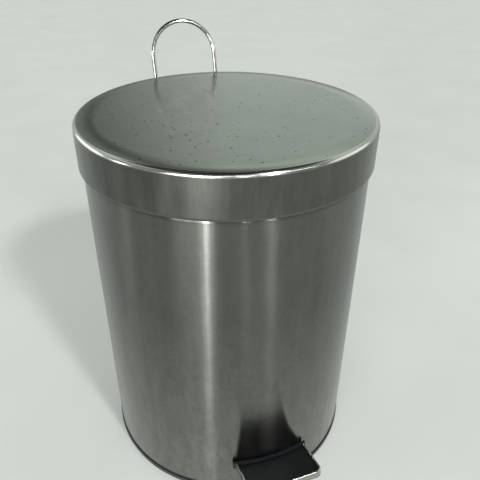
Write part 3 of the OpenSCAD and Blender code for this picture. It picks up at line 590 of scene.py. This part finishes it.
def small_metal(name, dark, light, rough, grain_size, depth):
    """Metal with grains of the given size in metres and a low relief; dark and light are its two tones."""
    material, add = new_material(name)
    place = add("TexCoord").outputs["Object"]
    cloud = add("TexNoise", {"Vector": place, "Scale": 1 / METAL_CLOUD, "Detail": 4.0, "Roughness": 0.6})
    grain = add("TexNoise", {"Vector": place, "Scale": 1 / grain_size, "Detail": 3.0, "Roughness": 0.6})
    tone = weighted(add, (cloud, 0.6), (grain, 0.4))
    surface = add("BsdfPrincipled", {
        "Base Color": add("ValToRGB", (tone,), stops=[(0.36, dark), (0.64, light)]), "Metallic": 1.0,
        "Roughness": add("MapRange", (tone, 0.35, 0.65, rough - 0.05, rough + 0.06)),
        "Normal": add("Bump", {"Height": grain, "Strength": 0.4, "Distance": depth})})
    add("OutputMaterial", (surface,))
    return material


pedal_steel = small_metal("folded_satin_stainless", "#9b9b96", "#b4b4af", 0.20, 0.5 * MM, 0.02 * MM)
plated_wire = small_metal("zinc_plated_drawn_wire", "#a5a5a1", "#bcbcb8", 0.26, 0.3 * MM, 0.02 * MM)
polished_wire = small_metal("polished_nickel_wire", "#9b9a95", "#b1b0ab", 0.10, 0.4 * MM, 0.005 * MM)
spring_steel = small_metal("oiled_spring_steel", "#3b3a3a", "#55524f", 0.42, 0.6 * MM, 0.03 * MM)
rivet_metal = small_metal("set_aluminium_rivets", "#a9aaa8", "#c3c4c2", 0.32, 1.4 * MM, 0.06 * MM)
print("metals:", [m.name for m in (pedal_steel, plated_wire, polished_wire, spring_steel, rivet_metal)])

# %% [markdown]
# The lever, its axle and the lid's bracket are mild steel with a bright zinc plating. Zinc grows in fine
# crystals, each of which turns the light a little differently, and it takes a faint yellow and blue cast.
# Noise would look cloudy, where crystals have sharp borders, so a cell pattern gives each one its own tone
# and roughness.

# %% Zinc plating
CRYSTAL = 1.2 * MM
CAST = 33.33 * MM           # width of a patch of the yellow or the blue cast


def plated_sheet(name, rough):
    """Bright zinc on pressed steel: crystals, a faint cast of two colours, and roughness from each one."""
    material, add = new_material(name)
    place = add("TexCoord").outputs["Object"]
    crystals = add("TexVoronoi", {"Vector": place, "Scale": 1 / CRYSTAL}).outputs
    facet = add("SeparateColor", (crystals["Color"],))
    cast = add("TexNoise", {"Vector": place, "Scale": 1 / CAST, "Detail": 3.0, "Roughness": 0.6})
    tint = add("ValToRGB", (cast,), stops=[(0.3, "#9b9c9a"), (0.5, "#aaa99f"), (0.7, "#a3a6ab")])
    bright = add("MapRange", (facet, 0.0, 1.0, 0.0, 0.25))
    surface = add("BsdfPrincipled", {
        "Base Color": add("Mix", {0: bright, 6: tint, 7: linear("#c2c3c1")}, data_type="RGBA"),
        "Metallic": 1.0, "Roughness": add("MapRange", (facet, 0.0, 1.0, rough - 0.05, rough + 0.05)),
        "Normal": add("Bump", {"Height": facet, "Strength": 0.3, "Distance": 0.02 * MM})})
    add("OutputMaterial", (surface,))
    return material


plated_steel = plated_sheet("zinc_plated_pressed_steel", 0.34)
print("plating:", plated_steel.name, "with crystals of", CRYSTAL / MM, "mm")

# %% [markdown]
# ## Moulded plastic and rubber
#
# Black plastic for such parts comes out of a spark-eroded mould: a matt skin of pits about 0.3 mm wide and
# a few hundredths deep. Pits of that size look the same from a bump as from real dents, and a bump costs no
# points. The bucket's mould is smoother, and the melt leaves faint upright flow marks on its wall. The
# hinge's bushes are turned from natural nylon, whose fine tool marks look much like such pits. The feet and
# bumpers are duller, and dust and floor scuffs show on them as greyer patches.

# %% Plastics and rubbers
SKIN_CLOUD = 28.57 * MM
FLOW_WIDE = 9 * MM
FLOW_TALL = 90 * MM


def moulded(name, dark, light, rough, pit, depth, specular=0.5, flow=0.0):
    """Moulded skin: pits of the given width and depth in metres, cloudy tone, and upright flow marks
    with the weight flow."""
    material, add = new_material(name)
    arc, height, place = unrolled(add, body_radius)
    pits = add("TexNoise", {"Vector": place, "Scale": 1 / pit, "Detail": 2.0})
    cloud = add("TexNoise", {"Vector": place, "Scale": 1 / SKIN_CLOUD, "Detail": 4.0, "Roughness": 0.6})
    flow_marks = marks(add, arc, height, FLOW_WIDE, FLOW_TALL, 3.0)
    tone = weighted(add, (cloud, 1.0 - flow), (flow_marks, flow))
    surface = add("BsdfPrincipled", {
        "Base Color": add("ValToRGB", (tone,), stops=[(0.35, dark), (0.65, light)]),
        "Roughness": add("MapRange", (tone, 0.35, 0.65, rough - 0.06, rough + 0.06)),
        "Specular IOR Level": specular,
        "Normal": add("Bump", {"Height": pits, "Strength": 0.6, "Distance": depth})})
    add("OutputMaterial", (surface,))
    return material


base_plastic = moulded("moulded_black_base", "#141616", "#1d1f1f", 0.38, 0.35 * MM, 0.03 * MM)
hinge_plastic = moulded("moulded_black_hinge", "#151616", "#202122", 0.42, 0.30 * MM, 0.04 * MM)
bucket_plastic = moulded("moulded_polypropylene", "#2a2c2c", "#353737", 0.36, 0.25 * MM, 0.01 * MM, flow=0.6)
grip_plastic = moulded("moulded_black_grip", "#1a1b1b", "#262727", 0.45, 0.25 * MM, 0.03 * MM)
nylon = moulded("turned_natural_nylon", "#d2d0c4", "#e2e0d6", 0.42, 0.5 * MM, 0.02 * MM)
pad_rubber = moulded("smooth_black_rubber", "#04090d", "#0a1015", 0.55, 0.20 * MM, 0.01 * MM, specular=0.35)
foot_rubber = moulded("matt_black_rubber", "#161717", "#232423", 0.75, 0.30 * MM, 0.03 * MM, specular=0.4)
print("plastics:", [m.name for m in (base_plastic, hinge_plastic, bucket_plastic, grip_plastic, nylon)])
print("rubbers:", [m.name for m in (pad_rubber, foot_rubber)])

# %% [markdown]
# ## Each solid gets its finish
#
# The solids keep their shape, and only the material in each one's slot changes. A table from piece to finish
# shows at a glance which pieces share a metal.

# %% Assign the finishes
finish_of = {
    "outer_body": body_steel, "lid_shell": lid_steel, "pedal_plate": pedal_steel,
    "lever_axle": plated_steel, "pedal_lever": plated_steel, "lid_bracket": plated_steel,
    "push_rod": plated_wire, "bucket_bail": plated_wire, "carry_handle": polished_wire,
    "axle_clips": spring_steel, "rod_clips": spring_steel,
    "hinge_rivets": rivet_metal, "pedal_rivets": rivet_metal,
    "base_moulding": base_plastic, "rod_guide": hinge_plastic, "hinge_housing": hinge_plastic,
    "inner_bucket": bucket_plastic, "bail_grip": grip_plastic, "hinge_bushes": nylon,
    "pedal_pad": pad_rubber, "base_feet": foot_rubber, "lever_stop": foot_rubber, "lid_bumpers": foot_rubber}
for name, material in finish_of.items():
    nodes[name].data.materials.clear()
    nodes[name].data.materials.append(material)
print("finished:", len(finish_of), "of", len(nodes), "nodes")

# %% [markdown]
# ## Small pieces that only show
#
# Three traces of how the bin is made are too small for the solids: the tube's welded seam, the spot welds
# under the lid, and the mark where the bucket's mould was filled. Each is a grid of points: a row for each
# step along it, and quads between neighbouring rows. A shape turned about an upright axis is such a grid
# too, with its last column joined to its first.

# %% Grids, turned shapes and a solid's points
def grid_piece(name, grid, body, material, closed=False):
    """A surface over a grid of points in metres with the shape (rows, columns, 3), in one colour, riding on
    a body. Point (row, column) has the number row * columns + column; closed joins the last column to the
    first."""
    rows, columns = grid.shape[:2]
    last_column = columns if closed else columns - 1
    row, column = np.meshgrid(np.arange(rows - 1), np.arange(last_column), indexing="ij")
    following = (column + 1) % columns
    quads = np.stack([row * columns + column, row * columns + following,
                      (row + 1) * columns + following, (row + 1) * columns + column], axis=-1).reshape(-1, 4)
    mesh = bpy.data.meshes.new(name)
    mesh.vertices.add(rows * columns)
    mesh.vertices.foreach_set("co", grid.reshape(-1))
    mesh.loops.add(quads.size)
    mesh.loops.foreach_set("vertex_index", quads.reshape(-1).astype(np.int32))
    mesh.polygons.add(len(quads))
    mesh.polygons.foreach_set("loop_start", np.arange(0, quads.size, 4, dtype=np.int32))
    mesh.polygons.foreach_set("use_smooth", np.ones(len(quads), dtype=bool))
    mesh.update(calc_edges=True)
    mesh.validate()
    mesh.materials.append(material)
    piece = bpy.data.objects.new(name, mesh)
    scene.collection.objects.link(piece)
    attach(piece, body)
    return piece


def turned(profile, centre, steps=32):
    """Grid of a shape turned about an upright axis. profile holds (radius, height) in metres; the point at
    the angle a is centre + (r cos a, r sin a, height)."""
    radius, height = np.array(profile).T[:, :, None]
    angle = np.linspace(0, 2 * np.pi, steps, endpoint=False)
    return np.stack([centre[0] + radius * np.cos(angle), centre[1] + radius * np.sin(angle),
                     centre[2] + height + 0 * angle], axis=-1)


def points_of(name):
    """All the points of a solid, in metres: one row of (x, y, z) for each."""
    mesh = nodes[name].data
    points = np.zeros(len(mesh.vertices) * 3)
    mesh.vertices.foreach_get("co", points)
    return points.reshape(-1, 3)

print("points of the bracket:", len(points_of("lid_bracket")))

# %% [markdown]
# The tube is a rolled sheet, so a welded seam runs up its back, from its lower end to the hinge's housing: a
# low bead with the ripples of the moving pool, curved across it. A bump on the tube could show it too, but
# the seam has its own duller metal. The bead sinks a little into the wall, so that no gap shows beside it.

# %% Welded seam
SEAM_HALF = 0.9 * MM
SEAM_RISE = 0.12 * MM
SEAM_SINK = 0.02 * MM
SEAM_END_GAP = 1.0 * MM
RIPPLE = 1.2 * MM

# the relief is SEAM_RISE times bead times ripple: the bead is 1 - (across / SEAM_HALF) squared, and the
# ripple is a sine up the seam whose phase shifts with the square of across
height = np.linspace(body_low.z + SEAM_END_GAP, housing_low.z - SEAM_END_GAP, 900)[:, None]
across = np.linspace(-SEAM_HALF, SEAM_HALF, 11)[None, :]
bead = 1 - (across / SEAM_HALF) ** 2
ripple = 0.8 + 0.2 * np.sin(2 * np.pi * (height - across ** 2 / MM) / RIPPLE)
depth = np.sqrt(body_radius ** 2 - across ** 2) + SEAM_RISE * bead * ripple - SEAM_SINK
seam_grid = np.stack(np.broadcast_arrays(-across, depth, height), axis=-1)
seam_metal = small_metal("laser_welded_seam", "#5d5b57", "#85827b", 0.28, 0.4 * MM, 0.03 * MM)
grid_piece("body_seam", seam_grid, "body", seam_metal)
print("seam:", round((height[-1, 0] - height[0, 0]) / MM), "mm long")

# %% [markdown]
# Four spot welds hold the bracket under the lid, and each leaves a round, browned nugget. A flat disc would
# vanish when seen from the side, so it is a low cap, a quarter of an ellipse turned about its axis, which
# hangs from the bracket's plate.

# %% Spot welds
WELD_RADIUS = 1.9 * MM
WELD_RISE = 0.35 * MM
WELD_SIDE = 19 * MM                 # from the middle to either side
WELD_ROWS = (8 * MM, 26 * MM)       # behind the plate's front edge
EDGE_STRIP = 1 * MM                 # the strip along the front edge in which the underside is read

bracket_points = points_of("lid_bracket")
front_edge = bracket_points[:, 1].min()
plate_low = bracket_points[bracket_points[:, 1] < front_edge + EDGE_STRIP, 2].min()
weld_metal = small_metal("spot_weld_scale", "#67615a", "#8d887f", 0.40, 0.5 * MM, 0.04 * MM)
bow = np.linspace(0, 0.5 * np.pi, 9)
nugget = [(WELD_RADIUS * math.cos(a), -WELD_RISE * math.sin(a)) for a in bow]
weld_places = [(x, front_edge + y, plate_low) for y in WELD_ROWS for x in (-WELD_SIDE, WELD_SIDE)]
for number, centre in enumerate(weld_places):
    grid_piece(f"spot_weld_{number}", turned(nugget, centre)[:, ::-1], "lid", weld_metal, closed=True)
print("spot welds:", len(weld_places), "under the plate at", round(plate_low / MM, 2), "mm")

# %% [markdown]
# The bucket is moulded from a gate in the middle of its floor. Where the runner was twisted off, a small nub
# stays on a low round pad: a profile of six points, turned about the bucket's axis.

# %% Gate mark
bucket_points = points_of("inner_bucket")
near_axis = bucket_points[np.hypot(bucket_points[:, 0], bucket_points[:, 1]) < 0.9 * body_radius, 2]
bucket_floor = np.unique(near_axis.round(5))[1]     # the lowest level is the floor's underside
nub_profile = np.array([(2.6, 0.0), (2.5, 0.2), (1.3, 0.3), (1.0, 0.4), (0.9, 0.8), (0.0, 0.9)]) * MM
grid_piece("gate_mark", turned(nub_profile, (0, 0, bucket_floor)), "bucket", bucket_plastic, closed=True)
print("gate mark on the bucket's floor at", round(bucket_floor / MM, 2), "mm")
